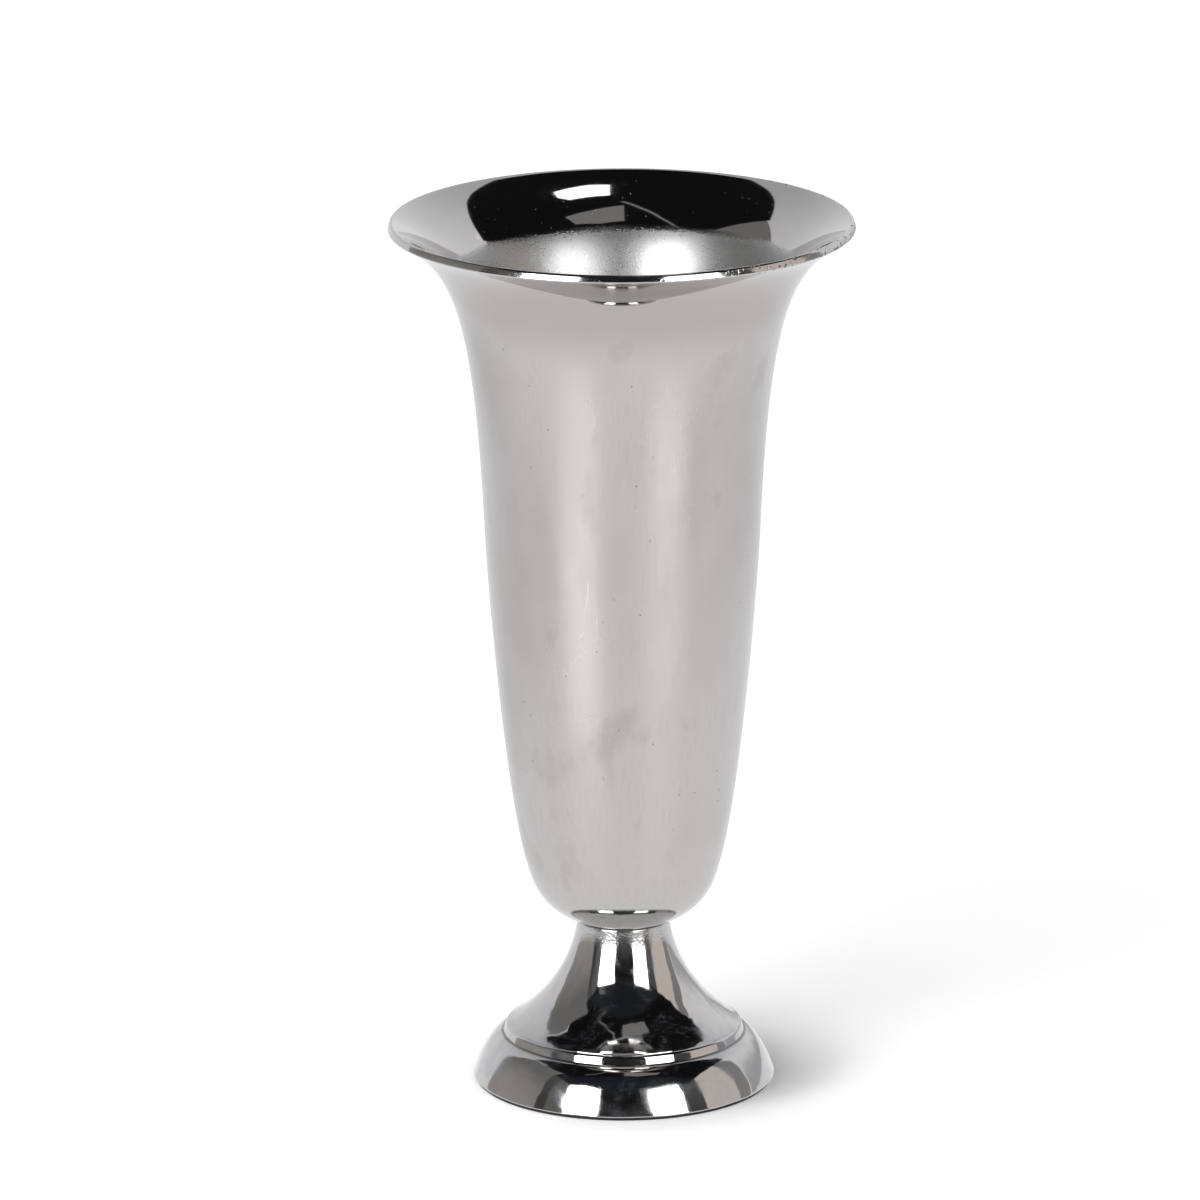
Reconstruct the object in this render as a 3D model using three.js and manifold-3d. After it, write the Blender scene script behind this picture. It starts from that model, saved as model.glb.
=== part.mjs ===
// Footed bell vase: a cast aluminium cup clamped to a hollow stepped foot by a stud and nut.
// Millimetres, +Z up, with the origin on the floor under the vase's axis.
import * as THREE from "three";
import { mergeVertices } from "three/addons/utils/BufferGeometryUtils.js";
import Module from "manifold-3d";

// Cup: its heights run up from the seat
const CUP_HEIGHT = 251.6;
const CUP_WALL = 3;
const LIP_RADIUS = 81;
const LIP_ROUND = 0.6;
const WAIST_RADIUS = 48;
const WAIST_HEIGHT = 141.4;
const BELLY_RADIUS = 34.1;
const BELLY_HEIGHT = 21.4;
const SEAT_RADIUS = 16.1;

// Slopes of the cup's outline at those places, in degrees above level
const SEAT_SLOPE_DEG = 19.5;
const BELLY_SLOPE_DEG = 73.7;
const WAIST_SLOPE_DEG = 87.4;
const LIP_SLOPE_DEG = 27.5;

// How far the turned edge of the lip faces up
const LIP_FACING_DEG = 20;

// How far each place pulls the cup's outline along its own slope
const SEAT_PULL = 16;
const BELLY_PULL_DOWN = 5.4;
const BELLY_PULL_UP = 23.3;
const WAIST_PULL_DOWN = 26.5;
const WAIST_PULL_UP = 77;
const LIP_PULL = 26;

// Tapped boss inside the cup's bottom, and the spigot that centres the cup in the neck
const TAP_DEPTH = 12;
const DRILL_POINT = 2.4;
const BOSS_WALL = 4;
const BOSS_CAP = 2.5;
const BOSS_FILLET = 1.5;
const SPIGOT_WALL = 4.1;
const SPIGOT_LENGTH = 2.6;
const SPIGOT_CHAMFER = 0.4;

// Foot: each height runs up from the one before it, starting on the pad
const FOOT_WALL = 3.2;
const BASE_RADIUS = 53;
const ROLL_HEIGHT = 15.75;
const CREASE_RADIUS = 42.3;
const BAND_HEIGHT = 3.05;
const SHOULDER_RADIUS = 41.3;
const FLARE_HEIGHT = 38;

// Slopes of the foot's outline, in degrees above level and leaning in, with their pulls
const RIM_SLOPE_DEG = 71.5;
const RIM_PULL = 15.2;
const CREASE_SLOPE_DEG = 17;
const CREASE_PULL = 1.1;
const SHOULDER_SLOPE_DEG = 9.5;
const SHOULDER_PULL = 2.4;
const NECK_SLOPE_DEG = 83;
const NECK_PULL = 24.5;

// Foot details
const RIM_LAND = 5;
const RIM_ROUND = 0.5;
const SHOULDER_ROUND = 0.9;
const NECK_ROUND = 0.4;
const WEB_THICKNESS = 7;
const WEB_FILLET = 1.5;

// Gasket in the seam, and the pad under the rim
const GASKET_THICKNESS = 0.4;
const GASKET_INSET = 0.2;
const PAD_THICKNESS = 1.2;
const PAD_INSET = 0.9;

// M8 fasteners
const STUD_RADIUS = 4;
const STUD_CHAMFER = 0.8;
const STUD_STICKOUT = 3;
const WASHER_THICKNESS = 2;
const SPRING_THICKNESS = 2;
const SPRING_WIDTH = 3.3;
const SPRING_GAP_DEG = 20;
const SPRING_LEAN_DEG = 14;
const NUT_HEIGHT = 6.5;
const NUT_WALL = 2.3;
const NUT_CHAMFER = 0.7;

// Clearances
const THREAD_CLEARANCE = 0.2;
const STUD_CLEARANCE = 0.5;
const SPIGOT_CLEARANCE = 0.3;
const WASHER_CLEARANCE = 0.4;
const STUD_END_CLEARANCE = 0.5;

// Facets
const TURNED_SEGMENTS = 48;
const FASTENER_SEGMENTS = 24;
const ROUND_STEPS = 3;
const BOWL_STEPS = 10;
const BARREL_STEPS = 5;
const BELL_STEPS = 11;
const ROLL_STEPS = 7;
const FLARE_STEPS = 11;
const WELD_DISTANCE = 1e-4;

// Heights that follow from the sizes above
const CREASE_Z = PAD_THICKNESS + ROLL_HEIGHT;
const SHOULDER_Z = CREASE_Z + BAND_HEIGHT;
const NECK_Z = SHOULDER_Z + FLARE_HEIGHT;
const SEAT_Z = NECK_Z + GASKET_THICKNESS;
const LIP_EDGE = CUP_WALL / Math.cos(THREE.MathUtils.degToRad(LIP_SLOPE_DEG - LIP_FACING_DEG));
const LIP_Z = SEAT_Z + CUP_HEIGHT - LIP_EDGE * Math.cos(THREE.MathUtils.degToRad(LIP_FACING_DEG));
const SPIGOT_Z = SEAT_Z - SPIGOT_LENGTH;
const RECESS_Z = SPIGOT_Z - SPIGOT_CLEARANCE;
const TAP_Z = SPIGOT_Z + TAP_DEPTH;
const WEB_Z = NECK_Z - WEB_THICKNESS;
const WASHER_Z = WEB_Z - WASHER_THICKNESS;
const SPRING_Z = WASHER_Z - SPRING_THICKNESS;
const NUT_Z = SPRING_Z - NUT_HEIGHT;

// Radii that follow from the sizes above
const THREAD_RADIUS = STUD_RADIUS + THREAD_CLEARANCE;
const HOLE_RADIUS = STUD_RADIUS + STUD_CLEARANCE;
const SPIGOT_RADIUS = THREAD_RADIUS + SPIGOT_WALL;
const RECESS_RADIUS = SPIGOT_RADIUS + SPIGOT_CLEARANCE;
const RIM_INNER_RADIUS = BASE_RADIUS - RIM_LAND;

const wasm = await Module();
wasm.setup();

// Point of a profile, by its distance from the axis and its height
function at(radius, z) {
  return new THREE.Vector2(radius, z);
}

// Point reached from another by going a distance along a slope in degrees
function along(from, slope, distance) {
  const angle = THREE.MathUtils.degToRad(slope);
  return at(from.x + distance * Math.cos(angle), from.y + distance * Math.sin(angle));
}

// The same slope, rising towards the axis
function inward(slope) {
  return 180 - slope;
}

// Place that an outline passes on a given slope
function knot(radius, z, slope) {
  return { point: at(radius, z), slope };
}

// Curve between two places that leaves the one and arrives at the other on their slopes
function sweep(from, leavingPull, to, arrivingPull, steps) {
  const leaving = along(from.point, from.slope, leavingPull);
  const arriving = along(to.point, to.slope, -arrivingPull);
  return new THREE.CubicBezierCurve(from.point, leaving, arriving, to.point).getPoints(steps);
}

// The same line moved to the left of its travel
function offset(line, distance) {
  return line.map((point, i) => {
    const before = line[Math.max(i - 1, 0)];
    const after = line[Math.min(i + 1, line.length - 1)];
    const travel = after.clone().sub(before).normalize();
    return at(point.x - travel.y * distance, point.y + travel.x * distance);
  });
}

// Radius of a rising line at a given height
function radiusAt(line, z) {
  const above = line.findIndex((point) => point.y > z);
  const [low, high] = [line[above - 1], line[above]];
  return THREE.MathUtils.mapLinear(z, low.y, high.y, low.x, high.x);
}

// Corner between two neighbours, rounded off from a given distance before it
function rounded(before, corner, after, size) {
  const start = before.clone().sub(corner).setLength(size).add(corner);
  const end = after.clone().sub(corner).setLength(size).add(corner);
  return new THREE.QuadraticBezierCurve(start, corner, end).getPoints(ROUND_STEPS);
}

// Solid turned about +Z from a profile listed anticlockwise that starts and ends on the axis
function turned(profile, segments) {
  const geometry = new THREE.LatheGeometry(profile, segments);
  return geometry.rotateX(Math.PI / 2);
}

// Ring turned about +Z from a profile listed anticlockwise that keeps clear of the axis
function turnedRing(profile, segments) {
  return turned([...profile, profile[0]], segments);
}

// Plain flat ring
function flatRing(inner, outer, low, high, segments) {
  const profile = [at(inner, low), at(outer, low), at(outer, high), at(inner, high)];
  return turnedRing(profile, segments);
}

// Boolean solid from a closed geometry
function solid(geometry) {
  const bare = geometry.clone();
  bare.deleteAttribute("normal");
  bare.deleteAttribute("uv");
  const merged = mergeVertices(bare, WELD_DISTANCE);
  const mesh = new wasm.Mesh({
    numProp: 3,
    vertProperties: merged.attributes.position.array,
    triVerts: new Uint32Array(merged.index.array),
  });
  return new wasm.Manifold(mesh);
}

// Geometry from a boolean solid
function geometryOf(result) {
  const mesh = result.getMesh();
  const geometry = new THREE.BufferGeometry();
  geometry.setAttribute("position", new THREE.BufferAttribute(mesh.vertProperties, 3));
  geometry.setIndex(new THREE.BufferAttribute(mesh.triVerts, 1));
  geometry.computeVertexNormals();
  return geometry;
}

// Outside of the cup, from the seat up to the underside of the lip
function cupOutside() {
  const seat = knot(SEAT_RADIUS, SEAT_Z, SEAT_SLOPE_DEG);
  const belly = knot(BELLY_RADIUS, SEAT_Z + BELLY_HEIGHT, BELLY_SLOPE_DEG);
  const waist = knot(WAIST_RADIUS, SEAT_Z + WAIST_HEIGHT, WAIST_SLOPE_DEG);
  const lip = knot(LIP_RADIUS, LIP_Z, LIP_SLOPE_DEG);
  return [
    ...sweep(seat, SEAT_PULL, belly, BELLY_PULL_DOWN, BOWL_STEPS),
    ...sweep(belly, BELLY_PULL_UP, waist, WAIST_PULL_DOWN, BARREL_STEPS).slice(1),
    ...sweep(waist, WAIST_PULL_UP, lip, LIP_PULL, BELL_STEPS).slice(1),
  ];
}

// Cup of even wall: blind tapped hole and spigot below, bell outside, turned lip, boss inside
function vaseBody() {
  const outside = cupOutside();
  const inside = offset(outside, CUP_WALL).reverse();
  const lipLow = outside.pop();
  const lipHigh = along(lipLow, 90 + LIP_FACING_DEG, LIP_EDGE);
  const wallEnd = inside.shift();
  const floor = inside.at(-1);
  const bossRadius = THREAD_RADIUS + BOSS_WALL;
  const bossFoot = at(bossRadius, floor.y);
  const bossTop = at(bossRadius, TAP_Z + DRILL_POINT + BOSS_CAP);
  const bossCentre = at(0, bossTop.y);
  const profile = [
    at(0, TAP_Z + DRILL_POINT),
    at(THREAD_RADIUS, TAP_Z),
    at(THREAD_RADIUS, SPIGOT_Z),
    at(SPIGOT_RADIUS - SPIGOT_CHAMFER, SPIGOT_Z),
    at(SPIGOT_RADIUS, SPIGOT_Z + SPIGOT_CHAMFER),
    at(SPIGOT_RADIUS, SEAT_Z),
    ...outside,
    ...rounded(outside.at(-1), lipLow, lipHigh, LIP_ROUND),
    ...rounded(lipLow, lipHigh, wallEnd, LIP_ROUND),
    ...inside,
    ...rounded(floor, bossFoot, bossTop, BOSS_FILLET),
    ...rounded(bossFoot, bossTop, bossCentre, BOSS_FILLET),
    bossCentre,
  ];
  return turned(profile, TURNED_SEGMENTS);
}

// Bulging roll of the foot, from its rim up and in to the crease
function footRoll() {
  const rim = knot(BASE_RADIUS, PAD_THICKNESS, inward(RIM_SLOPE_DEG));
  const crease = knot(CREASE_RADIUS, CREASE_Z, inward(CREASE_SLOPE_DEG));
  return sweep(rim, RIM_PULL, crease, CREASE_PULL, ROLL_STEPS);
}

// Trumpet flare of the foot, from its shoulder up and in to the neck
function footFlare() {
  const shoulder = knot(SHOULDER_RADIUS, SHOULDER_Z, inward(SHOULDER_SLOPE_DEG));
  const neck = knot(SEAT_RADIUS, NECK_Z, inward(NECK_SLOPE_DEG));
  return sweep(shoulder, SHOULDER_PULL, neck, NECK_PULL, FLARE_STEPS);
}

// Inside of the flare, from the shoulder up to the neck
const FLARE_INSIDE = offset(footFlare(), FOOT_WALL);

// Bore of the neck where the web crosses it
const NECK_BORE = radiusAt(FLARE_INSIDE, WEB_Z);

// Hollow stepped foot: rim and roll, crease, steep band, shoulder, flare, and a web across the neck.
// The hollow leaves the wall whole behind the crease
function pedestalFoot() {
  const roll = footRoll();
  const flare = footFlare();
  const hollow = FLARE_INSIDE.filter((point) => point.y < WEB_Z - WEB_FILLET)
    .filter((point) => point.x < CREASE_RADIUS - FOOT_WALL)
    .reverse();
  const rollInside = offset(roll, FOOT_WALL)
    .reverse()
    .filter((point) => point.x < RIM_INNER_RADIUS);
  const rimInner = at(RIM_INNER_RADIUS, PAD_THICKNESS);
  const rim = roll.shift();
  const crease = roll.at(-1);
  const shoulder = flare.shift();
  const neck = flare.pop();
  const recessMouth = at(RECESS_RADIUS, NECK_Z);
  const holeFoot = at(HOLE_RADIUS, WEB_Z);
  const webCorner = at(NECK_BORE, WEB_Z);
  const profile = [
    rimInner,
    ...rounded(rimInner, rim, roll[0], RIM_ROUND),
    ...roll,
    ...rounded(crease, shoulder, flare[0], SHOULDER_ROUND),
    ...flare,
    ...rounded(flare.at(-1), neck, recessMouth, NECK_ROUND),
    recessMouth,
    at(RECESS_RADIUS, RECESS_Z),
    at(HOLE_RADIUS, RECESS_Z),
    holeFoot,
    ...rounded(holeFoot, webCorner, hollow[0], WEB_FILLET),
    ...hollow,
    ...rollInside,
  ];
  return turnedRing(profile, TURNED_SEGMENTS);
}

// Thin ring bedded between the cup's seat and the top of the neck
function seatGasket() {
  return flatRing(RECESS_RADIUS, SEAT_RADIUS - GASKET_INSET, NECK_Z, SEAT_Z, TURNED_SEGMENTS);
}

// Stud from the cup's tapped boss down through the web and the nut
function threadedStud() {
  const low = NUT_Z - STUD_STICKOUT;
  const high = TAP_Z - STUD_END_CLEARANCE;
  const profile = [
    at(0, low),
    at(STUD_RADIUS - STUD_CHAMFER, low),
    at(STUD_RADIUS, low + STUD_CHAMFER),
    at(STUD_RADIUS, high - STUD_CHAMFER),
    at(STUD_RADIUS - STUD_CHAMFER, high),
    at(0, high),
  ];
  return turned(profile, FASTENER_SEGMENTS);
}

// Wide washer that fills the flat of the web inside its fillet
function clampWasher() {
  const outer = NECK_BORE - WEB_FILLET - WASHER_CLEARANCE;
  return flatRing(HOLE_RADIUS, outer, WASHER_Z, WEB_Z, FASTENER_SEGMENTS);
}

// Spring washer pressed flat: an open ring whose cut leans as the ring's two ends pass each other
function springWasher() {
  const outer = THREAD_RADIUS + SPRING_WIDTH;
  const start = THREE.MathUtils.degToRad(SPRING_GAP_DEG / 2);
  const end = 2 * Math.PI - start;
  const lean = THREE.MathUtils.degToRad(SPRING_LEAN_DEG);
  const shape = new THREE.Shape();
  shape.absarc(0, 0, outer, start, end, false);
  shape.absarc(0, 0, THREAD_RADIUS, end, start, true);
  const geometry = new THREE.ExtrudeGeometry(shape, {
    depth: SPRING_THICKNESS,
    bevelEnabled: false,
    curveSegments: FASTENER_SEGMENTS,
  });
  const corner = geometry.attributes.position;
  const point = new THREE.Vector3();
  const up = new THREE.Vector3(0, 0, 1);
  for (let i = 0; i < corner.count; i++) {
    point.fromBufferAttribute(corner, i);
    point.applyAxisAngle(up, lean * (point.z / SPRING_THICKNESS));
    corner.setXYZ(i, point.x, point.y, point.z);
  }
  return geometry.translate(0, 0, SPRING_Z);
}

// Hexagon nut: a drilled six-sided bar with the corners of both ends turned off
function hexNut() {
  const flat = THREAD_RADIUS + NUT_WALL;
  const corner = flat / Math.cos(Math.PI / 6);
  const hexagon = new THREE.Shape();
  for (let i = 0; i < 6; i++) {
    const angle = (i * Math.PI) / 3;
    const x = corner * Math.cos(angle);
    const y = corner * Math.sin(angle);
    if (i === 0) hexagon.moveTo(x, y);
    else hexagon.lineTo(x, y);
  }
  hexagon.closePath();
  hexagon.holes.push(new THREE.Path().absarc(0, 0, THREAD_RADIUS, 0, 2 * Math.PI, true));
  const bar = new THREE.ExtrudeGeometry(hexagon, {
    depth: NUT_HEIGHT,
    bevelEnabled: false,
    curveSegments: FASTENER_SEGMENTS,
  });
  const ends = turned(
    [
      at(0, 0),
      at(flat, 0),
      at(corner, NUT_CHAMFER),
      at(corner, NUT_HEIGHT - NUT_CHAMFER),
      at(flat, NUT_HEIGHT),
      at(0, NUT_HEIGHT),
    ],
    2 * FASTENER_SEGMENTS,
  );
  return geometryOf(solid(bar).intersect(solid(ends))).translate(0, 0, NUT_Z);
}

// Soft ring glued under the foot's rim
function basePad() {
  const inner = RIM_INNER_RADIUS + PAD_INSET;
  return flatRing(inner, BASE_RADIUS - PAD_INSET, 0, PAD_THICKNESS, TURNED_SEGMENTS);
}

function finish(color, roughness, metalness) {
  return new THREE.MeshStandardMaterial({ color, roughness, metalness });
}

const polishedBody = finish(0xc9c6c2, 0.22, 1);
const mirrorFoot = finish(0xc4c2bf, 0.06, 1);
const zincSteel = finish(0xa9adb0, 0.35, 1);
const blackFibre = finish(0x1c1b1a, 0.85, 0);
const blackFelt = finish(0x151515, 0.95, 0);

const vase = new THREE.Group();
vase.name = "footed_bell_vase";

function add(name, geometry, material) {
  const mesh = new THREE.Mesh(geometry, material);
  mesh.name = name;
  vase.add(mesh);
}

add("vase_body", vaseBody(), polishedBody);
add("pedestal_foot", pedestalFoot(), mirrorFoot);
add("seat_gasket", seatGasket(), blackFibre);
add("threaded_stud", threadedStud(), zincSteel);
add("clamp_washer", clampWasher(), zincSteel);
add("spring_washer", springWasher(), zincSteel);
add("hex_nut", hexNut(), zincSteel);
add("base_pad", basePad(), blackFelt);

export default vase;
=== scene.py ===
import math
from collections import namedtuple

import bpy
from mathutils import Euler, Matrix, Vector, noise


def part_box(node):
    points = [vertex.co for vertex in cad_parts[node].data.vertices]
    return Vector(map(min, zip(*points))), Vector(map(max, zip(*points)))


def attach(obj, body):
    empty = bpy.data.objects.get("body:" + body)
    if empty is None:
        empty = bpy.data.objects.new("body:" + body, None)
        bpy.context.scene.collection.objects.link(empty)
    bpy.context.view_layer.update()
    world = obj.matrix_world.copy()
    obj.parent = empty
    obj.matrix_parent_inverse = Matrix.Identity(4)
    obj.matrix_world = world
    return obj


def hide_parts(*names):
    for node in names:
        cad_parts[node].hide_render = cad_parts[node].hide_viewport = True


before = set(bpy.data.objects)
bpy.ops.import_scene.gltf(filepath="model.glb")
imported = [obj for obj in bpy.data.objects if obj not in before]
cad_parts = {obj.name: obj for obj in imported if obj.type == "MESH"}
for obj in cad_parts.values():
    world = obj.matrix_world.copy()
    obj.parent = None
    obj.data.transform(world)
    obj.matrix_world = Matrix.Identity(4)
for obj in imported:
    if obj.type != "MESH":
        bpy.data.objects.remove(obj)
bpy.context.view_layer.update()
BODY = "root"
MM = 0.001

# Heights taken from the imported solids
PAD_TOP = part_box("base_pad")[1].z
NECK_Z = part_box("pedestal_foot")[1].z
SPIGOT_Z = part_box("vase_body")[0].z
SEAT_Z = SPIGOT_Z + 2.6 * MM

# Place on an outline: its slope in degrees above level, and how far it pulls the curve before and after it
Knot = namedtuple("Knot", "radius z slope before after", defaults=(0, 0))

# Screw, and the clearances round it
STUD_RADIUS = 4 * MM
STUD_CHAMFER = 0.8 * MM
THREAD_PITCH = 1.25 * MM
THREAD_DEPTH = 0.7 * MM
THREAD_RADIUS = STUD_RADIUS + 0.2 * MM
HOLE_RADIUS = STUD_RADIUS + 0.5 * MM

# Cup sizes
CUP_WALL = 3 * MM
CUP_HEIGHT = 251.6 * MM
LIP_RADIUS = 81 * MM
LIP_SLOPE = 27.5
LIP_FACING = 20
LIP_EDGE = CUP_WALL / math.cos(math.radians(LIP_SLOPE - LIP_FACING))
LIP_Z = SEAT_Z + CUP_HEIGHT - LIP_EDGE * math.cos(math.radians(LIP_FACING))
LIP_ROUND_BELOW = 0.6 * MM
LIP_ROUND_ABOVE = 1.1 * MM
WAIST_Z = SEAT_Z + 141.4 * MM
BELLY_Z = SEAT_Z + 21.4 * MM
SEAT_RADIUS = 16.1 * MM
CUP_KNOTS = [
    Knot(radius=SEAT_RADIUS, z=SEAT_Z, slope=19.5, after=16 * MM),
    Knot(radius=34.1 * MM, z=BELLY_Z, slope=73.7, before=5.4 * MM, after=23.3 * MM),
    Knot(radius=48 * MM, z=WAIST_Z, slope=87.4, before=26.5 * MM, after=77 * MM),
    Knot(radius=LIP_RADIUS, z=LIP_Z, slope=LIP_SLOPE, before=26 * MM),
]
SPIGOT_RADIUS = THREAD_RADIUS + 4.1 * MM
SPIGOT_CHAMFER = 0.4 * MM
TAP_DEPTH = 12 * MM
DRILL_POINT = 2.4 * MM
BOSS_RADIUS = THREAD_RADIUS + 4 * MM
BOSS_CAP = 2.5 * MM
BOSS_FILLET = 1.5 * MM

# Foot sizes
FOOT_WALL = 3.2 * MM
BASE_RADIUS = 53 * MM
CREASE_Z = PAD_TOP + 15.75 * MM
SHOULDER_Z = CREASE_Z + 3.05 * MM
ROLL_KNOTS = [
    Knot(radius=BASE_RADIUS, z=PAD_TOP, slope=180 - 71.5, after=15.2 * MM),
    Knot(radius=42.3 * MM, z=CREASE_Z, slope=180 - 17, before=1.1 * MM),
]
FLARE_KNOTS = [
    Knot(radius=41.3 * MM, z=SHOULDER_Z, slope=180 - 9.5, after=2.4 * MM),
    Knot(radius=SEAT_RADIUS, z=NECK_Z, slope=180 - 83, before=24.5 * MM),
]
RIM_INNER_RADIUS = BASE_RADIUS - 5 * MM
RIM_ROUND = 0.5 * MM
CREASE_ROUND = 0.35 * MM
SHOULDER_ROUND = 0.9 * MM
NECK_ROUND = 0.4 * MM
RECESS_RADIUS = SPIGOT_RADIUS + 0.3 * MM
RECESS_Z = NECK_Z - 2.3 * MM
WEB_Z = NECK_Z - 7 * MM
WEB_FILLET = 1.5 * MM

# Nut, washers and soft rings
NUT_FLAT = 6.5 * MM
NUT_CHAMFER = 0.7 * MM
WASHER_ROUND = 0.25 * MM
SPRING_GAP = math.radians(20)
SPRING_LEAN = math.radians(14)
GASKET_ROUND = 0.1 * MM
PAD_INNER = RIM_INNER_RADIUS + 0.9 * MM
PAD_ROUND = 0.35 * MM

# Fineness of the turned meshes
SEGMENTS = 288
FASTENER_SEGMENTS = 96
THREAD_STEPS = 8
CURVE_STEPS = 48
ROUND_STEPS = 6
SHARP_ANGLE = math.radians(30)
ON_AXIS = 1e-9


def along(start, slope, distance):
    angle = math.radians(slope)
    return start + Vector((math.cos(angle), math.sin(angle))) * distance


def bezier(corners, t):
    while len(corners) > 1:
        corners = [a.lerp(b, t) for a, b in zip(corners, corners[1:])]
    return corners[0]


def curve(corners, steps):
    return [bezier(corners, i / steps) for i in range(steps + 1)]


def outline(knots):
    """Smooth line through the knots, each passed on its own slope."""
    line = []
    for start, end in zip(knots, knots[1:]):
        first = Vector((start.radius, start.z))
        last = Vector((end.radius, end.z))
        leaving = along(first, start.slope, start.after)
        arriving = along(last, end.slope, -end.before)
        line += curve([first, leaving, arriving, last], CURVE_STEPS)[bool(line):]
    return line


def offset(line, distance):
    """The same line moved to the left of its travel."""
    moved = []
    for i, point in enumerate(line):
        travel = line[min(i + 1, len(line) - 1)] - line[max(i - 1, 0)]
        travel.normalize()
        moved.append(point + Vector((-travel.y, travel.x)) * distance)
    return moved


def rounded(before, corner, after, size):
    """Corner between two neighbours, rounded off from a given distance before it."""
    start = corner + (before - corner).normalized() * size
    end = corner + (after - corner).normalized() * size
    return curve([start, corner, end], ROUND_STEPS)


def without_end(line, size):
    """The line without the points that lie nearer than a given distance to its last one."""
    return [point for point in line if (point - line[-1]).length > size]


def without_start(line, size):
    return without_end(line[::-1], size)[::-1]


def new_piece(name, vertices, faces, materials):
    mesh = bpy.data.meshes.new(name)
    mesh.from_pydata(vertices, [], faces)
    for made in materials:
        mesh.materials.append(made)
    mesh.shade_smooth()
    piece = bpy.data.objects.new(name, mesh)
    bpy.context.scene.collection.objects.link(piece)
    return piece


def turned(point, angle):
    """Place of an outline's point after a turn about +Z."""
    return Vector((point.x * math.cos(angle), point.x * math.sin(angle), point.y))


def turned_rings(points, segments):
    """Each point's ring of vertex numbers, one number on the axis, and the vertices."""
    rings, vertices = [], []
    for point in points:
        count = 1 if point.x < ON_AXIS else segments
        rings.append([len(vertices) + j % count for j in range(segments)])
        vertices += [turned(point, 2 * math.pi * j / segments) for j in range(count)]
    return rings, vertices


def lathe(name, runs, segments=SEGMENTS, reshape=None):
    """Closed body turned about +Z. Each run is a material and the anticlockwise points its faces end at."""
    profile = [(point, index) for index, (_, line) in enumerate(runs) for point in line]
    rings, vertices = turned_rings([point for point, _ in profile], segments)
    if reshape:
        vertices = [reshape(place) for place in vertices]
    faces, slots = [], []
    closes = profile[0][0].x > ON_AXIS
    for i in range(0 if closes else 1, len(profile)):
        low, high = rings[i - 1], rings[i]
        for j in range(segments):
            k = (j + 1) % segments
            faces.append(list(dict.fromkeys([low[j], low[k], high[k], high[j]])))
            slots.append(profile[i][1])
    piece = new_piece(name, vertices, faces, [made for made, _ in runs])
    piece.data.polygons.foreach_set("material_index", slots)
    piece.data.set_sharp_from_angle(angle=SHARP_ANGLE)
    return piece


def ring_section(inner, outer, low, high, size):
    """Rectangle with softened corners."""
    corners = [Vector((inner, low)), Vector((outer, low)), Vector((outer, high)), Vector((inner, high))]
    line = []
    for before, corner, after in zip(corners[-1:] + corners, corners, corners[1:] + corners[:1]):
        line += rounded(before, corner, after, size)
    return line


# Node helpers


def node(tree, kind, inputs=None, **settings):
    """New node with its settings, and its inputs set to values or linked to other nodes' outputs."""
    made = tree.nodes.new(kind)
    for key, value in settings.items():
        setattr(made, key, value)
    for key, value in (inputs or {}).items():
        if isinstance(value, bpy.types.NodeSocket):
            tree.links.new(value, made.inputs[key])
        else:
            made.inputs[key].default_value = value
    return made


def calculate(tree, operation, *values):
    return node(tree, "ShaderNodeMath", dict(enumerate(values)), operation=operation).outputs[0]


def remap(tree, value, between, to=(0.0, 1.0)):
    """Value taken smoothly from one range to another."""
    inputs = {"Value": value}
    inputs["From Min"], inputs["From Max"] = between
    inputs["To Min"], inputs["To Max"] = to
    return node(tree, "ShaderNodeMapRange", inputs, interpolation_type="SMOOTHSTEP").outputs[0]


def place_on_object(tree, scale=(1, 1, 1)):
    coordinates = node(tree, "ShaderNodeTexCoord").outputs["Object"]
    return node(tree, "ShaderNodeMapping", {"Vector": coordinates, "Scale": scale}).outputs[0]


def axis_on_object(tree, axis):
    coordinates = node(tree, "ShaderNodeTexCoord").outputs["Object"]
    return node(tree, "ShaderNodeSeparateXYZ", {0: coordinates}).outputs[axis]


def noise_value(tree, scale, detail=2.0, stretch=(1, 1, 1), distortion=0.0):
    inputs = {"Vector": place_on_object(tree, stretch), "Scale": scale, "Detail": detail}
    inputs["Distortion"] = distortion
    return node(tree, "ShaderNodeTexNoise", inputs).outputs["Fac"]


def patches(tree, between, to=(0.0, 1.0), **texture):
    """Noise taken smoothly from one range to another."""
    return remap(tree, noise_value(tree, **texture), between, to)


def specks(tree, scale, size):
    """1 inside scattered small spots, and otherwise 0."""
    inputs = {"Vector": place_on_object(tree), "Scale": scale}
    distance = node(tree, "ShaderNodeTexVoronoi", inputs).outputs["Distance"]
    return remap(tree, distance, (size, 0.5 * size))


def mix_colour(tree, share, first, second):
    inputs = {"Factor": share, "A": first, "B": second}
    return node(tree, "ShaderNodeMix", inputs, data_type="RGBA").outputs["Result"]


def link_to(tree, shader, links):
    for name, value in links.items():
        tree.links.new(value, shader.inputs[name])


def bump(tree, height, distance):
    return node(tree, "ShaderNodeBump", {"Height": height, "Distance": distance, "Strength": 1.0}).outputs[0]


def new_material(name, **constants):
    """Material whose shader holds the given constants. Returns it with its tree and shader."""
    made = bpy.data.materials.new(name)
    made.use_nodes = True
    shader = made.node_tree.nodes["Principled BSDF"]
    for key, value in constants.items():
        shader.inputs[key.replace("_", " ")].default_value = value
    return made, made.node_tree, shader


# Materials

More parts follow.
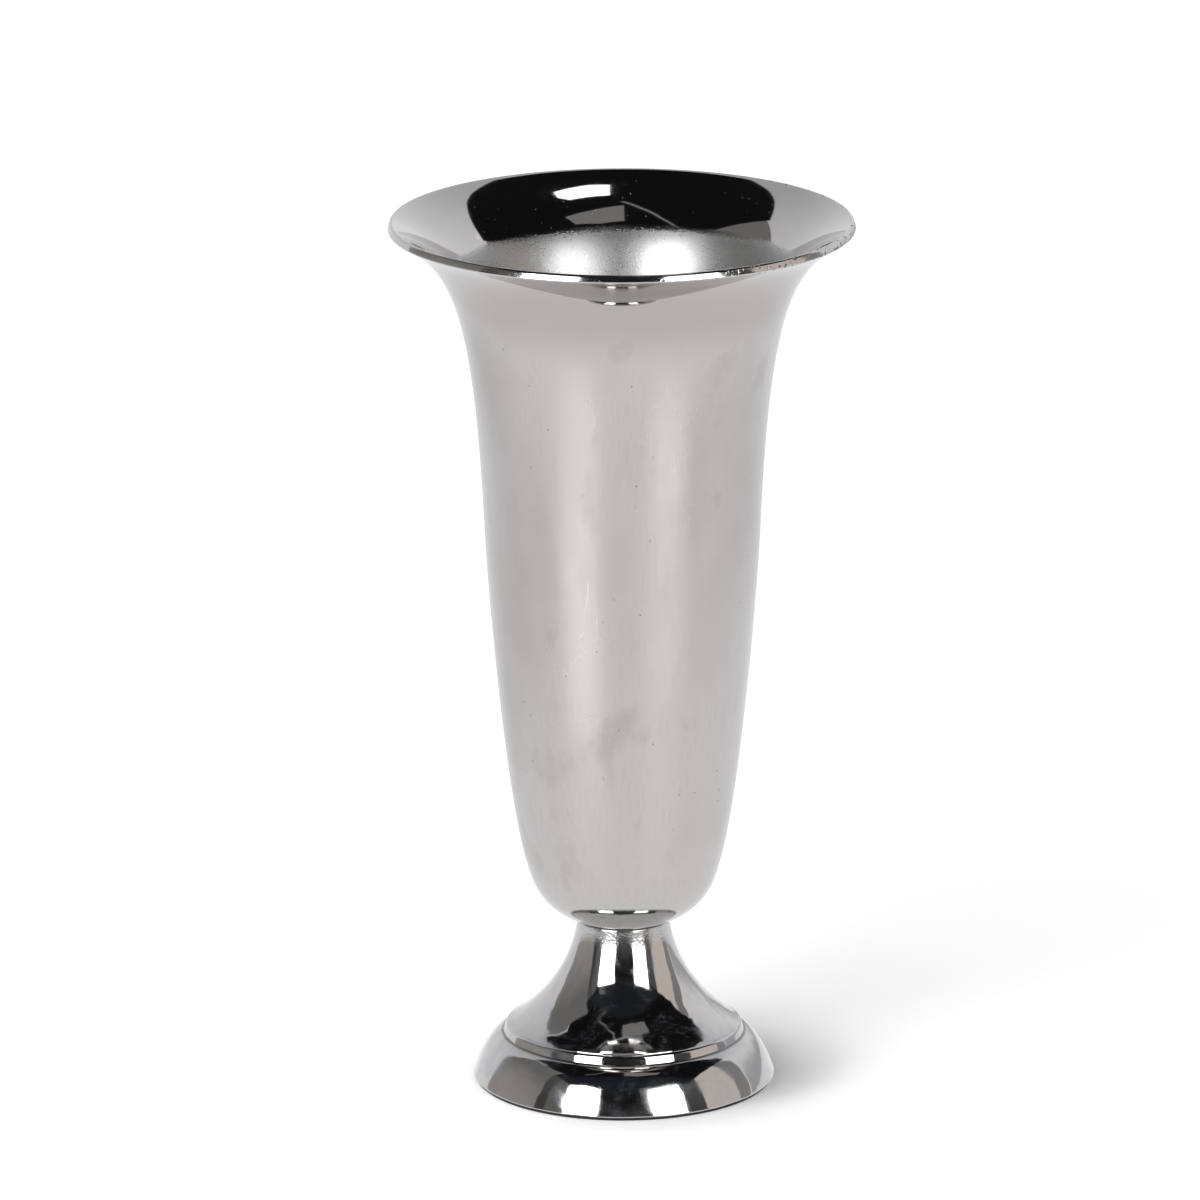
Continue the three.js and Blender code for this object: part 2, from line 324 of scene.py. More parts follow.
CUP_COLOUR = (0.53, 0.512, 0.502, 1)
# Colour of smudges, and of the painted shade over the outside of the flare
CUP_SMUDGE_AND_SHADE = (0.452, 0.428, 0.404, 1)
CUP_SPECK = (0.2, 0.18, 0.16, 1)
SATIN_COLOUR = (0.52, 0.52, 0.52, 1)
FOOT_COLOUR = (0.53, 0.52, 0.512, 1)
FOOT_TARNISH = (0.48, 0.465, 0.445, 1)
FOOT_SWIRL = (0.49, 0.5, 0.52, 1)
FOOT_SMEAR = (0.45, 0.49, 0.56, 1)
# Painted shade: colour of the dark line along the foot's crease
FOOT_CREASE_SHADE = (0.06, 0.055, 0.05, 1)
DUST_COLOUR = (0.5, 0.5, 0.48, 1)
WEAR_COLOUR = (0.09, 0.06, 0.04, 1)
CAST_COLOUR = (0.42, 0.42, 0.42, 1)
CAST_SHADE = (0.3, 0.3, 0.295, 1)
RUBBER_COLOUR = (0.012, 0.012, 0.012, 1)
RUBBER_DUST = (0.035, 0.034, 0.033, 1)
FELT_COLOUR = (0.006, 0.006, 0.006, 1)
FELT_FIBRE = (0.018, 0.018, 0.019, 1)
ZINC_COLOUR = (0.5, 0.51, 0.52, 1)
ZINC_SHADE = (0.36, 0.37, 0.375, 1)

# Heights between which the polish changes
CRISP_BELOW = (85 * MM, 66 * MM)
CRISP_ABOVE = (268 * MM, 288 * MM)
SATIN_EDGE = (293.4 * MM, 291.2 * MM)
DULL_BELOW = (280 * MM, 200 * MM)
NECK_EDGE = (49 * MM, 56 * MM)

# Rise of the satin's edge towards +X, the height of its ragged fringe, and where the lip's worn side begins
SATIN_LEAN = 0.018
SATIN_FRINGE = 3 * MM
WORN_SIDE = (10 * MM, 65 * MM)

# How far the painted shade, a dark line standing in for the crease's shade and dark reflection, reaches from
# the foot's crease
CREASE_SHADE_REACH = (0.4 * MM, 0.1 * MM)

# Depths of the finest relief
BRUSHED_DEPTH = 0.0015 * MM
SATIN_DEPTH = 0.1 * MM
WORN_DEPTH = 0.1 * MM
BEATEN_DEPTH = 0.08 * MM
CAST_DEPTH = 0.3 * MM
RUBBER_DEPTH = 0.04 * MM
FELT_DEPTH = 0.2 * MM
ZINC_DEPTH = 0.03 * MM

# Roughness of the polish, and what marks on it add
CUP_POLISH = 0.05
SATIN_ROUGHNESS = 0.11
GRAIN_ROUGHNESS = 0.3
LIP_POLISH = 0.09
WEAR_ROUGHNESS = 0.5
FOOT_POLISH = 0.06
SWIRL_ROUGHNESS = 0.08
NECK_ROUGHNESS = 0.08

# Shares of the bare metal that marks hide, the crease's painted shade among them
OXIDE_SHARE = 0.55
SMEAR_SHARE = 0.08
CREASE_SHADE_SHARE = 0.7


def cup_outside_material():
    """Lathe-polished wall: satin round the barrel, crisp under the flare and round the bottom; painted shade
    darkens the flare towards the lip.
    """
    brushed = {"Anisotropic": 0.7, "Anisotropic_Rotation": 0.25}
    made, tree, shader = new_material("cup_outside", Metallic=1.0, **brushed)
    height = axis_on_object(tree, "Z")
    flare = remap(tree, height, CRISP_ABOVE)
    crisp = calculate(tree, "MAXIMUM", flare, remap(tree, height, CRISP_BELOW))
    satin = calculate(tree, "SUBTRACT", 1.0, crisp)
    haze = patches(tree, (0.35, 0.7), to=(0.16, 0.23), scale=28, detail=4, stretch=(1, 1, 0.45))
    scratches = patches(tree, (0.68, 0.74), to=(0, 0.045), scale=1, stretch=(1100, 1100, 30))
    roughness = calculate(tree, "MULTIPLY_ADD", satin, haze, CUP_POLISH)
    roughness = calculate(tree, "ADD", roughness, scratches)
    clouds = patches(tree, (0.42, 0.72), scale=18, detail=6, stretch=(1, 1, 0.6))
    smudges = patches(tree, (0.55, 0.75), scale=60, detail=5, stretch=(1, 1, 0.5))
    streaks = patches(tree, (0.4, 0.75), to=(0, 0.25), scale=1, detail=3, stretch=(1100, 1100, 16))
    # Smudges and streaks, and painted shade that darkens the outside of the flare towards the lip
    smudge_and_shade = clouds
    for mark in (smudges, streaks, flare):
        smudge_and_shade = calculate(tree, "MAXIMUM", smudge_and_shade, mark)
    colour = mix_colour(tree, smudge_and_shade, CUP_COLOUR, CUP_SMUDGE_AND_SHADE)
    colour = mix_colour(tree, specks(tree, scale=140, size=0.05), colour, CUP_SPECK)
    lines = noise_value(tree, scale=1, detail=3, stretch=(60, 60, 4000))
    tangent = node(tree, "ShaderNodeTangent", direction_type="RADIAL", axis="Z").outputs[0]
    links = {"Base Color": colour, "Roughness": roughness, "Tangent": tangent}
    link_to(tree, shader, links | {"Normal": bump(tree, lines, BRUSHED_DEPTH)})
    return made


def cup_inside_material():
    """Dusty mirror polish in the flare, a grainy satin below it and dull oxide at the bottom."""
    made, tree, shader = new_material("cup_inside")
    fringe = calculate(tree, "SUBTRACT", noise_value(tree, scale=2600), 0.5)
    height = axis_on_object(tree, "Z")
    level = calculate(tree, "MULTIPLY_ADD", axis_on_object(tree, "X"), -SATIN_LEAN, height)
    level = calculate(tree, "MULTIPLY_ADD", fringe, SATIN_FRINGE, level)
    satin = remap(tree, level, SATIN_EDGE)
    dusty = patches(tree, (0.42, 0.6), scale=40)
    dust = calculate(tree, "MULTIPLY", specks(tree, scale=390, size=0.075), dusty)
    grain = noise_value(tree, scale=2400, detail=1)
    rough = calculate(tree, "MULTIPLY_ADD", grain, GRAIN_ROUGHNESS, SATIN_ROUGHNESS)
    roughness = calculate(tree, "MULTIPLY_ADD", satin, rough, CUP_POLISH)
    colour = mix_colour(tree, satin, FOOT_COLOUR, SATIN_COLOUR)
    links = {"Base Color": mix_colour(tree, dust, colour, DUST_COLOUR), "Roughness": roughness}
    oxide = remap(tree, height, DULL_BELOW, to=(0, OXIDE_SHARE))
    links["Metallic"] = calculate(tree, "SUBTRACT", 1.0, calculate(tree, "MAXIMUM", dust, oxide))
    links["Normal"] = bump(tree, calculate(tree, "MULTIPLY", grain, satin), SATIN_DEPTH)
    link_to(tree, shader, links)
    return made


def lip_material():
    """Turned edge with pits and brown wear, most of it on one side."""
    made, tree, shader = new_material("cup_lip", Metallic=1.0)
    spots = patches(tree, (0.58, 0.66), scale=700, detail=3)
    areas = patches(tree, (0.38, 0.6), scale=22)
    side = remap(tree, axis_on_object(tree, "X"), WORN_SIDE, to=(0.12, 1.0))
    worn = calculate(tree, "MULTIPLY", calculate(tree, "MULTIPLY", spots, areas), side)
    roughness = calculate(tree, "MULTIPLY_ADD", worn, WEAR_ROUGHNESS, LIP_POLISH)
    colour = mix_colour(tree, worn, FOOT_COLOUR, WEAR_COLOUR)
    pits = bump(tree, calculate(tree, "SUBTRACT", 1.0, worn), WORN_DEPTH)
    link_to(tree, shader, {"Base Color": colour, "Roughness": roughness, "Normal": pits})
    return made


def foot_outside_material():
    """Mirror polish with tarnish, swirls and smears, a line of painted shade along its crease, duller close
    to the seam.
    """
    made, tree, shader = new_material("foot_outside")
    tarnish = patches(tree, (0.5, 0.75), scale=90, detail=4)
    colour = mix_colour(tree, tarnish, FOOT_COLOUR, FOOT_TARNISH)
    swirls = patches(tree, (0.45, 0.7), scale=45, detail=6, distortion=3.0)
    colour = mix_colour(tree, swirls, colour, FOOT_SWIRL)
    smears = patches(tree, (0.48, 0.68), scale=240, detail=8, distortion=4.0)
    smears = calculate(tree, "MULTIPLY", smears, swirls)
    colour = mix_colour(tree, smears, colour, FOOT_SMEAR)
    height = axis_on_object(tree, "Z")
    # Painted shade: a dark line along the crease, where it has shade and a dark reflection
    from_crease = calculate(tree, "ABSOLUTE", calculate(tree, "SUBTRACT", height, CREASE_Z))
    crease_shade = remap(tree, from_crease, CREASE_SHADE_REACH, to=(0, CREASE_SHADE_SHARE))
    colour = mix_colour(tree, crease_shade, colour, FOOT_CREASE_SHADE)
    metallic = calculate(tree, "MULTIPLY_ADD", smears, -SMEAR_SHARE, 1.0)
    dull = remap(tree, height, NECK_EDGE)
    mottle = calculate(tree, "MULTIPLY", noise_value(tree, scale=1500), dull)
    roughness = calculate(tree, "MULTIPLY_ADD", swirls, SWIRL_ROUGHNESS, FOOT_POLISH)
    roughness = calculate(tree, "MULTIPLY_ADD", dull, NECK_ROUGHNESS, roughness)
    beaten = bump(tree, mottle, BEATEN_DEPTH)
    links = {"Base Color": colour, "Metallic": metallic, "Roughness": roughness}
    link_to(tree, shader, links | {"Normal": beaten})
    return made


def cast_material():
    """As-cast skin inside the hollow foot and under the cup."""
    made, tree, shader = new_material("cast_skin", Metallic=1.0)
    grain = noise_value(tree, scale=900, detail=5)
    colour = mix_colour(tree, grain, CAST_SHADE, CAST_COLOUR)
    roughness = remap(tree, grain, (0.3, 0.7), to=(0.45, 0.65))
    relief = bump(tree, grain, CAST_DEPTH)
    link_to(tree, shader, {"Base Color": colour, "Roughness": roughness, "Normal": relief})
    return made


def rubber_material():
    made, tree, shader = new_material("gasket_rubber")
    dust = patches(tree, (0.45, 0.75), scale=500, detail=4)
    colour = mix_colour(tree, dust, RUBBER_COLOUR, RUBBER_DUST)
    roughness = remap(tree, dust, (0, 1), to=(0.6, 0.85))
    relief = bump(tree, dust, RUBBER_DEPTH)
    link_to(tree, shader, {"Base Color": colour, "Roughness": roughness, "Normal": relief})
    return made


def felt_material():
    made, tree, shader = new_material("pad_felt", Sheen_Weight=0.06)
    fibres = noise_value(tree, scale=1500, detail=6, stretch=(1, 1, 0.4))
    colour = mix_colour(tree, fibres, FELT_COLOUR, FELT_FIBRE)
    roughness = remap(tree, fibres, (0.3, 0.7), to=(0.85, 1.0))
    nap = bump(tree, fibres, FELT_DEPTH)
    link_to(tree, shader, {"Base Color": colour, "Roughness": roughness, "Normal": nap})
    return made


def zinc_material():
    made, tree, shader = new_material("zinc_steel", Metallic=1.0)
    spangle = noise_value(tree, scale=700, detail=4)
    colour = mix_colour(tree, spangle, ZINC_SHADE, ZINC_COLOUR)
    roughness = remap(tree, spangle, (0.3, 0.7), to=(0.28, 0.42))
    pits = bump(tree, spangle, ZINC_DEPTH)
    link_to(tree, shader, {"Base Color": colour, "Roughness": roughness, "Normal": pits})
    return made


# Pieces


def vase_body():
    """Bell cup of even wall, with its turned lip, its boss inside and its spigot below."""
    outside = outline(CUP_KNOTS)
    lip_low = outside[-1]
    lip_high = along(lip_low, 90 + LIP_FACING, LIP_EDGE)
    inside = [lip_high] + offset(outside, CUP_WALL)[::-1]
    floor = inside[-1]
    tap_z = SPIGOT_Z + TAP_DEPTH
    boss_foot = Vector((BOSS_RADIUS, floor.y))
    boss_top = Vector((BOSS_RADIUS, tap_z + DRILL_POINT + BOSS_CAP))
    boss_centre = Vector((0, boss_top.y))
    machined = [
        Vector((0, tap_z + DRILL_POINT)),
        Vector((THREAD_RADIUS, tap_z)),
        Vector((THREAD_RADIUS, SPIGOT_Z)),
        Vector((SPIGOT_RADIUS - SPIGOT_CHAMFER, SPIGOT_Z)),
        Vector((SPIGOT_RADIUS, SPIGOT_Z + SPIGOT_CHAMFER)),
        Vector((SPIGOT_RADIUS, SEAT_Z)),
    ]
    wall = without_end(outside, LIP_ROUND_BELOW)
    lip = rounded(wall[-1], lip_low, lip_high, LIP_ROUND_BELOW)
    lip += rounded(lip_low, lip_high, inside[1], LIP_ROUND_ABOVE)
    bowl = without_start(inside, LIP_ROUND_ABOVE)
    bowl += rounded(floor, boss_foot, boss_top, BOSS_FILLET)
    bowl += rounded(boss_foot, boss_top, boss_centre, BOSS_FILLET) + [boss_centre]
    runs = [
        (cast_material(), machined),
        (cup_outside_material(), wall),
        (lip_material(), lip),
        (cup_inside_material(), bowl),
    ]
    return lathe("bell_cup", runs)


# Waves and ripples on the foot, with their scales in waves a metre and the seed of their noise
WAVE_HEIGHT = 0.1 * MM
WAVE_SCALE = 130
RIPPLE_HEIGHT = 0.02 * MM
RIPPLE_SCALE = 420
UNEVENNESS_SEED = 3


def foot_unevenness(place):
    """Waves and ripples that hand polishing leaves on the casting."""
    waves = noise.noise_vector(place * WAVE_SCALE) * WAVE_HEIGHT
    ripples = noise.noise_vector(place * RIPPLE_SCALE) * RIPPLE_HEIGHT
    return place + waves + ripples


def pedestal_foot():
    """Hollow stepped foot: rim, roll, crease, steep band, shoulder and flare, with a web across the neck."""
    roll = outline(ROLL_KNOTS)
    flare = outline(FLARE_KNOTS)
    rim, crease, shoulder, neck = roll[0], roll[-1], flare[0], flare[-1]
    rim_inner = Vector((RIM_INNER_RADIUS, PAD_TOP))
    recess = Vector((RECESS_RADIUS, NECK_Z))
    flare_inside = offset(flare, FOOT_WALL)[::-1]
    hollow = [p for p in flare_inside if p.y < WEB_Z - WEB_FILLET and p.x < crease.x - FOOT_WALL]
    roll_inside = [p for p in offset(roll, FOOT_WALL)[::-1] if p.x < RIM_INNER_RADIUS]
    hole = Vector((HOLE_RADIUS, WEB_Z))
    web_corner = Vector((max(p.x for p in flare_inside if p.y > WEB_Z), WEB_Z))
    skin = rounded(rim_inner, rim, roll[1], RIM_ROUND)
    skin += without_start(without_end(roll, CREASE_ROUND), RIM_ROUND)
    skin += rounded(roll[-2], crease, shoulder, CREASE_ROUND)
    skin += rounded(crease, shoulder, flare[1], SHOULDER_ROUND)
    skin += without_start(without_end(flare, NECK_ROUND), SHOULDER_ROUND)
    skin += rounded(flare[-2], neck, recess, NECK_ROUND)
    inner = [recess, Vector((RECESS_RADIUS, RECESS_Z)), Vector((HOLE_RADIUS, RECESS_Z)), hole]
    inner += rounded(hole, web_corner, hollow[0], WEB_FILLET) + hollow + roll_inside + [rim_inner]
    runs = [(foot_outside_material(), skin), (cast_material(), inner)]
    noise.seed_set(UNEVENNESS_SEED)
    return lathe("stepped_foot", runs, reshape=foot_unevenness)


def ring_like(name, solid, made, inner, size):
    """Ring with softened edges in the place of a solid."""
    low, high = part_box(solid)
    return lathe(name, [(made, ring_section(inner, high.x, low.z, high.z, size))])


def seat_gasket():
    return ring_like("gasket_ring", "seat_gasket", rubber_material(), RECESS_RADIUS, GASKET_ROUND)


def base_pad():
    return ring_like("felt_ring", "base_pad", felt_material(), PAD_INNER, PAD_ROUND)


def clamp_washer():
    return ring_like("wide_washer", "clamp_washer", zinc_material(), HOLE_RADIUS, WASHER_ROUND)


def spring_washer():
    """Open ring whose cut leans as the ring's two ends pass each other."""
    low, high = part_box("spring_washer")
    section = ring_section(THREAD_RADIUS, high.x, low.z, high.z, WASHER_ROUND)
    vertices, faces = [], []
    for i in range(FASTENER_SEGMENTS + 1):
        turn = SPRING_GAP / 2 + (2 * math.pi - SPRING_GAP) * i / FASTENER_SEGMENTS
        for point in section:
            angle = turn + SPRING_LEAN * (point.y - low.z) / (high.z - low.z)
            vertices.append(turned(point, angle))
    count = len(section)
    for i in range(FASTENER_SEGMENTS):
        for j in range(count):
            here, there = i * count, (i + 1) * count
            k = (j + 1) % count
            faces.append((here + j, there + j, there + k, here + k))
    faces.append(range(count))
    faces.append(range(len(vertices) - 1, len(vertices) - count - 1, -1))
    piece = new_piece("split_washer", vertices, faces, [zinc_material()])
    piece.data.set_sharp_from_angle(angle=SHARP_ANGLE)
    return piece


def threaded(place):
    """Place on a bar moved in to the flank of its screw thread."""
    turn = place.z / THREAD_PITCH - math.atan2(place.y, place.x) / (2 * math.pi)
    limit = STUD_RADIUS - THREAD_DEPTH * abs(2 * (turn % 1) - 1)
    radius = max(place.xy.length, ON_AXIS)
    share = min(1, limit / radius)
    return Vector((place.x * share, place.y * share, place.z))


def threaded_stud():
    low, high = (corner.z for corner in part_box("threaded_stud"))
    count = round((high - low - 2 * STUD_CHAMFER) / THREAD_PITCH * THREAD_STEPS)
    start = Vector((STUD_RADIUS, low + STUD_CHAMFER))
    end = Vector((STUD_RADIUS, high - STUD_CHAMFER))
    bar = [Vector((0, low)), Vector((STUD_RADIUS - STUD_CHAMFER, low))]
    bar += curve([start, end], count)
    bar += [Vector((STUD_RADIUS - STUD_CHAMFER, high)), Vector((0, high))]
    return lathe("screw_stud", [(zinc_material(), bar)], FASTENER_SEGMENTS, threaded)


def six_sided(place):
    """Place moved in to the flats of a hexagon that has a corner on +X."""
    angle = math.atan2(place.y, place.x) % (math.pi / 3) - math.pi / 6
    share = min(1, NUT_FLAT / math.cos(angle) / place.xy.length)
    return Vector((place.x * share, place.y * share, place.z))


def hex_nut():
    low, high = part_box("hex_nut")
    corner, bottom, top = high.x, low.z, high.z
    cone_low = curve([Vector((NUT_FLAT, bottom)), Vector((corner, bottom + NUT_CHAMFER))], ROUND_STEPS)
    cone_high = curve([Vector((corner, top - NUT_CHAMFER)), Vector((NUT_FLAT, top))], ROUND_STEPS)
    bore = [
        Vector((THREAD_RADIUS + NUT_CHAMFER, top)),
        Vector((THREAD_RADIUS, top - NUT_CHAMFER)),
        Vector((THREAD_RADIUS, bottom + NUT_CHAMFER)),
        Vector((THREAD_RADIUS + NUT_CHAMFER, bottom)),
    ]
    runs = [(zinc_material(), cone_low + cone_high + bore)]
    return lathe("hexagon_nut", runs, FASTENER_SEGMENTS, six_sided)


# Each piece replaces the solid that its function is named after
PIECES = [
    (vase_body, "cup_metal"),
    (pedestal_foot, "foot_metal"),
    (seat_gasket, "gasket_rubber"),
    (threaded_stud, "fastener_steel"),
    (clamp_washer, "fastener_steel"),
    (spring_washer, "fastener_steel"),
    (hex_nut, "fastener_steel"),
    (base_pad, "pad_felt"),
]

# Studio

FLOOR_SIDE = 30
FLOOR_COLOUR = (0.98, 0.98, 0.98, 1)
FLOOR_GLOW = 0.12
AMBIENT = 0.8

# Scale of the noise in a surface's glow, and how far it shifts the glow along its axis
GLOW_SCALE = 3
GLOW_SHIFT = 0.4

# Light that a surface sends out at two places on an axis, and those places
Glow = namedtuple("Glow", "low high start end axis", defaults=(0.0, 1.0, "Z"))
FRONT = Glow((0.12, 0.12, 0.125), (0.012, 0.012, 0.013), end=0.8)
GLOOM = Glow((0.015, 0.018, 0.022), (0.017, 0.02, 0.024))
GAP = Glow((0.07, 0.068, 0.066), (0.11, 0.11, 0.108))
FLAT = Glow((0.44, 0.42, 0.4), (0.22, 0.215, 0.21), end=0.85)
DIM = Glow((0.18, 0.175, 0.17), (0.15, 0.15, 0.15))
GREY = Glow((0.36, 0.35, 0.34), (0.27, 0.265, 0.26))
PALE = Glow((0.82, 0.74, 0.69), (0.78, 0.71, 0.66))
LEFT_SWEEP = Glow((0.92, 0.915, 0.93), (0.56, 0.56, 0.575), end=2.0)
SWEEP = Glow((1.04, 1.035, 1.05), (0.62, 0.62, 0.635), end=2.2)
BLACK = Glow((0.008, 0.008, 0.009), (0.008, 0.008, 0.009))
LAMP = Glow((3, 3, 3), (3, 3, 3))
SKIRT = Glow((0.52, 0.52, 0.53), (0.98, 0.975, 0.98), end=0.5)
PAPER = Glow((1.07, 1.055, 1.045), (0.91, 0.92, 0.965), -0.7, 0.75, "Y")

# Walls of the room that the metal reflects: where they start and end, their height and their glow
ROOM_HEIGHT = 1.02
RIGHT_HEIGHT = 0.87
FLAT_HEIGHT = 1.3
SWEEP_HEIGHT = 3.5
ROOF_HEIGHT = 2.4
SKIRT_HEIGHT = 0.5
ROOM_WALLS = [
    ("front_wall", (-1.0, -1.45), (1.0, -1.45), ROOM_HEIGHT, FRONT),
    ("front_gloom", (-3.0, -1.7), (3.0, -1.7), ROOF_HEIGHT, GLOOM),
    ("left_front_wall", (-1.0, -1.45), (-1.0, -0.53), ROOM_HEIGHT, DIM),
    ("left_gap", (-1.0, -0.53), (-1.0, -0.34), ROOM_HEIGHT, GAP),
    ("left_flat", (-1.0, -0.34), (-1.0, 0.66), FLAT_HEIGHT, FLAT),
    ("left_sweep", (-1.0, 0.66), (-0.75, 1.6), SWEEP_HEIGHT, LEFT_SWEEP),
    ("left_back", (-0.75, 1.6), (0, 1.6), SWEEP_HEIGHT, LEFT_SWEEP),
    ("right_front_wall", (1.0, -1.45), (1.0, -0.45), RIGHT_HEIGHT, GAP),
    ("right_flat", (1.0, -0.45), (1.0, 0.14), RIGHT_HEIGHT, PALE),
    ("right_wing", (1.0, 0.14), (1.0, 0.38), RIGHT_HEIGHT, GREY),
    ("right_turn", (1.0, 0.38), (1.0, 0.58), RIGHT_HEIGHT, SWEEP),
    ("right_sweep", (1.0, 0.58), (0.75, 1.6), SWEEP_HEIGHT, SWEEP),
    ("right_back", (0.75, 1.6), (0, 1.6), SWEEP_HEIGHT, SWEEP),
    ("right_skirt", (0.98, 0.4), (0.73, 1.58), SKIRT_HEIGHT, SKIRT),
    ("back_skirt", (0.73, 1.58), (0, 1.58), SKIRT_HEIGHT, SKIRT),
]

# Level surfaces of that room: their outlines, heights and glow
LAMP_HEIGHT = 0.98
BOOM_HEIGHT = 0.97
PAPER_HEIGHT = 0.5 * MM
CEILING_LEFT = [(-0.08, 0.425), (-0.15, 0.46), (-0.25, 0.525), (-0.34, 0.565), (-0.45, 0.58), (-0.76, 0.56)]
CEILING_RIGHT = [(0.08, 0.425), (0.17, 0.465), (0.27, 0.53), (0.36, 0.575), (0.46, 0.595), (0.87, 0.575)]
CEILING = [(-0.76, -0.5), (1.4, -0.5), (1.4, 0.53), *CEILING_RIGHT[::-1], (0, 0.41), *CEILING_LEFT]
ROOF = [(-3.0, -1.7), (3.0, -1.7), (3.0, 0.3), (-3.0, 0.3)]
TOP_LAMP = [(0.04, 0), (0.19, 0), (0.215, 0.06), (0.195, 0.14), (0.08, 0.155), (0.03, 0.14)]
TOP_PANEL = [(0.33, -0.22), (0.16, -0.2), (-0.01, -0.15), (-0.02, -0.4), (0.15, -0.43), (0.33, -0.37)]
BOOM = [(0.005, -0.095), (-0.085, -0.185), (-0.24, -0.303), (-0.445, -0.4)]
BOOM += [(-0.455, -0.382), (-0.25, -0.285), (-0.095, -0.168), (-0.008, -0.085)]
PAPER_SHEET = [(-1.6, -1.7), (1.6, -1.7), (1.6, 1.7), (-1.6, 1.7)]
ROOM_LEVELS = [
    ("ceiling", CEILING, ROOM_HEIGHT, BLACK),
    ("roof", ROOF, ROOF_HEIGHT, GLOOM),
    ("top_lamp", TOP_LAMP, LAMP_HEIGHT, LAMP),
    ("top_panel", TOP_PANEL, LAMP_HEIGHT, GREY),
    ("boom", BOOM, BOOM_HEIGHT, GREY),
    ("paper", PAPER_SHEET, PAPER_HEIGHT, PAPER),
]

# Lamps
SOFTBOX_DISTANCE = 1.2
SOFTBOX_SIZE = (0.575, 0.745)
SOFTBOX_HEIGHT = 0.5875
SOFTBOX_TURNS = (math.radians(-35.2), math.radians(35.3))
SOFTBOX_POWERS = (17, 10)
SUN_STRENGTH = 1.3
SUN_ANGLE = math.radians(40)
SUN_TILT = (math.radians(55), 0, math.radians(-40))

# Flag that keeps light off the floor round the foot, most of all on the right
FLAG_HEIGHT = 0.02
FLAG_INNER = 0.046
FLAG_OUTER = 0.057
FLAG_REACH = 0.011
FLAG_TURNS = [math.radians(turn) for turn in range(-110, 131, 10)]
FLAG_MIDDLE = math.radians(25)


def seen_directly(tree):
    """1 for what the camera sees, also by reflection or through glass, and otherwise 0."""
    path = node(tree, "ShaderNodeLightPath").outputs
    shown = calculate(tree, "ADD", path["Is Camera Ray"], path["Is Glossy Ray"])
    return calculate(tree, "MINIMUM", calculate(tree, "ADD", shown, path["Is Transmission Ray"]), 1.0)


def white_world():
    world = bpy.data.worlds.new("white_studio")
    bpy.context.scene.world = world
    world.use_nodes = True
    tree = world.node_tree
    strength = remap(tree, seen_directly(tree), (0, 1), to=(AMBIENT, 1.0))
    tree.links.new(strength, tree.nodes["Background"].inputs["Strength"])
    tree.nodes["Background"].inputs["Color"].default_value = (1, 1, 1, 1)


def floor():
    half = FLOOR_SIDE / 2
    corners = [(-half, -half, 0), (half, -half, 0), (half, half, 0), (-half, half, 0)]
    matt = {"Base_Color": FLOOR_COLOUR, "Roughness": 1.0, "Specular_IOR_Level": 0.0}
    made, tree, shader = new_material("white_floor", Emission_Color=(1, 1, 1, 1), **matt)
    glow = calculate(tree, "MULTIPLY", seen_directly(tree), FLOOR_GLOW)
    tree.links.new(glow, shader.inputs["Emission Strength"])
    new_piece("floor", corners, [range(4)], [made])


def glow_material(name, glow):
    """Light of its own, graded along an axis and a little uneven."""
    black = {"Base_Color": (0, 0, 0, 1), "Specular_IOR_Level": 0.0}
    made, tree, shader = new_material(name, Emission_Strength=1.0, **black)
    uneven = calculate(tree, "MULTIPLY_ADD", noise_value(tree, GLOW_SCALE), GLOW_SHIFT, -GLOW_SHIFT / 2)
    place = calculate(tree, "ADD", axis_on_object(tree, glow.axis), uneven)
    share = remap(tree, place, (glow.start, glow.end))
    link_to(tree, shader, {"Emission Color": mix_colour(tree, share, (*glow.low, 1), (*glow.high, 1))})
    return made


def card(name, corners, glow):
    """Flat surface that only shows as a reflection in the metal."""
    piece = new_piece(name, corners, [range(len(corners))], [glow_material(name, glow)])
    piece.visible_camera = False
    piece.visible_diffuse = False
    piece.visible_shadow = False
    piece.visible_transmission = False


def reflected_room():
    """Dark room in front and overhead, a grey flat on the left, a pale one on the right and white behind."""
    for name, start, end, height, glow in ROOM_WALLS:
        card(name, [(*start, 0), (*end, 0), (*end, height), (*start, height)], glow)
    for name, corners, z, glow in ROOM_LEVELS:
        card(name, [(*corner, z) for corner in corners], glow)


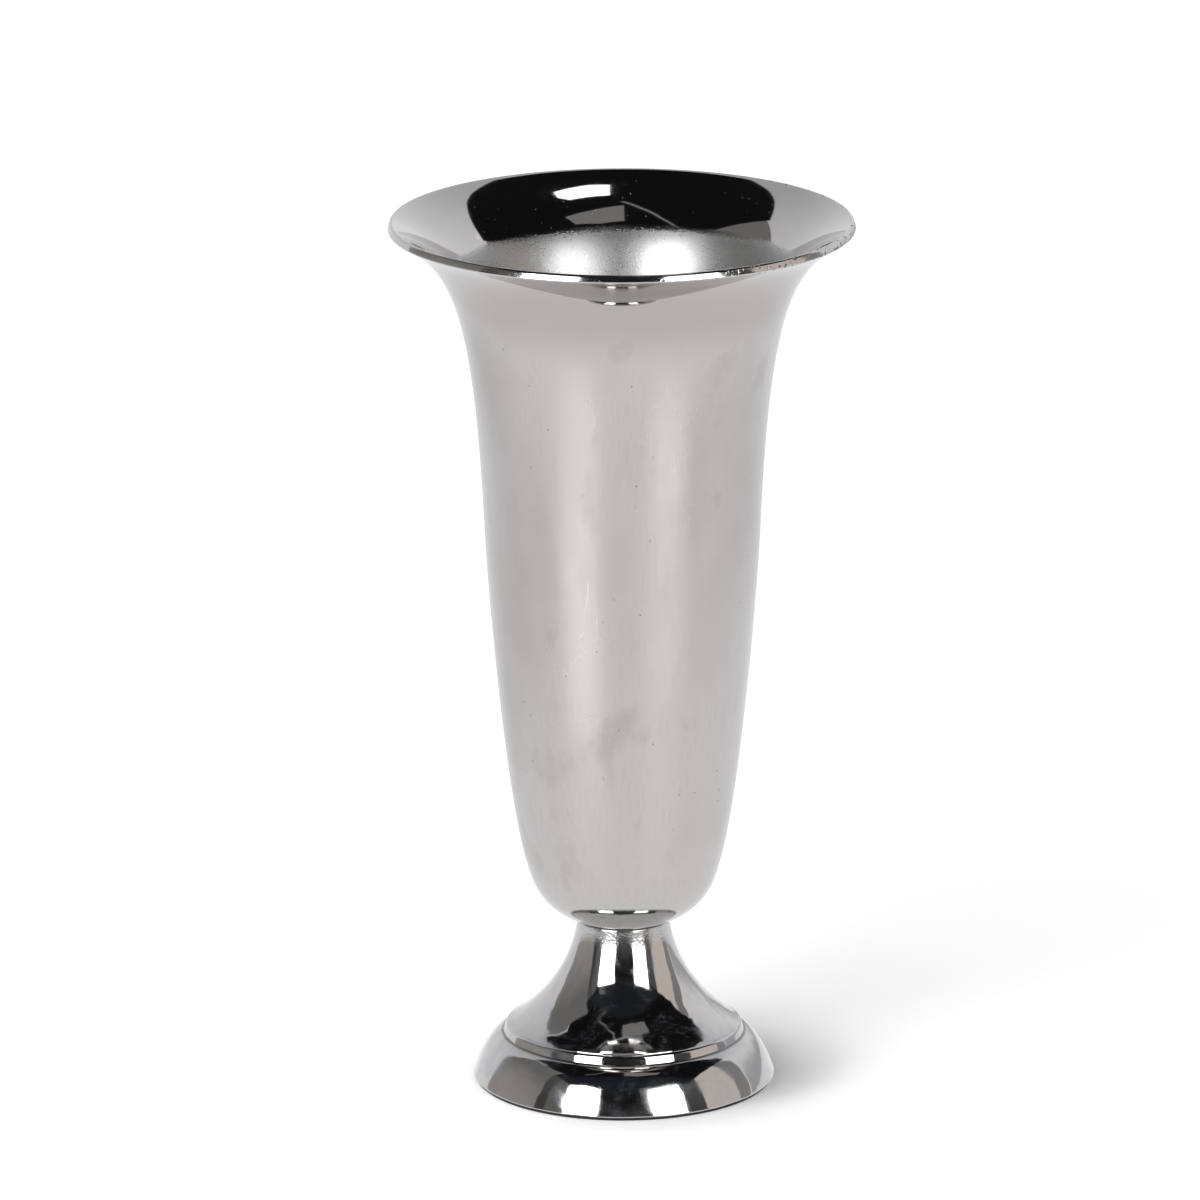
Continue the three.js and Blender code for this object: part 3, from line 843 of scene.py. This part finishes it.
def flag():
    """Crescent above the floor that only blocks light."""
    corners = [turned(Vector((FLAG_INNER, 0)), turn) for turn in FLAG_TURNS[::-1]]
    for turn in FLAG_TURNS:
        radius = FLAG_OUTER + FLAG_REACH * max(0, math.cos(turn - FLAG_MIDDLE))
        corners.append(turned(Vector((radius, 0)), turn))
    made, _, _ = new_material("flag", Base_Color=(0, 0, 0, 1), Specular_IOR_Level=0.0)
    piece = new_piece("flag", corners, [range(len(corners))], [made])
    piece.location.z = FLAG_HEIGHT
    piece.visible_camera = False
    piece.visible_glossy = False


def softbox(turn, power):
    light = bpy.data.lights.new("softbox", "AREA")
    light.shape = "RECTANGLE"
    light.size, light.size_y = SOFTBOX_SIZE
    light.energy = power
    lamp = bpy.data.objects.new("softbox", light)
    bpy.context.scene.collection.objects.link(lamp)
    place = Vector((math.sin(turn), -math.cos(turn), 0)) * SOFTBOX_DISTANCE
    lamp.location = place + Vector((0, 0, SOFTBOX_HEIGHT))
    lamp.rotation_euler = (math.radians(90), 0, turn)
    lamp.visible_camera = False
    lamp.visible_diffuse = False


def sun():
    light = bpy.data.lights.new("skylight", "SUN")
    light.energy = SUN_STRENGTH
    light.angle = SUN_ANGLE
    lamp = bpy.data.objects.new("skylight", light)
    bpy.context.scene.collection.objects.link(lamp)
    lamp.rotation_euler = SUN_TILT
    lamp.visible_glossy = False


# Camera, fitted to the photograph's view
CAMERA_ELEVATION = math.radians(15.58)
CAMERA_DISTANCE = 3.486
CAMERA_TARGET = Vector((-0.0079, 0, 0.1738))
CAMERA_LENS = 300
CAMERA_SENSOR = 36
CAMERA_REACH = 100
CAMERA_ROLL = math.radians(-0.19)


def camera():
    data = bpy.data.cameras.new("camera")
    data.lens = CAMERA_LENS
    data.sensor_width = CAMERA_SENSOR
    data.clip_end = CAMERA_REACH
    made = bpy.data.objects.new("camera", data)
    bpy.context.scene.collection.objects.link(made)
    back = Vector((0, -math.cos(CAMERA_ELEVATION), math.sin(CAMERA_ELEVATION)))
    made.location = CAMERA_TARGET + back * CAMERA_DISTANCE
    aim = Euler((math.pi / 2 - CAMERA_ELEVATION, 0, 0))
    aim.rotate_axis("Z", CAMERA_ROLL)
    made.rotation_euler = aim
    bpy.context.scene.camera = made


bpy.context.scene.view_settings.view_transform = "Standard"
camera()
white_world()
floor()
reflected_room()
flag()
for turn, power in zip(SOFTBOX_TURNS, SOFTBOX_POWERS):
    softbox(turn, power)
sun()

for build, slot in PIECES:
    piece = build()
    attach(piece, BODY)
    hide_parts(build.__name__)
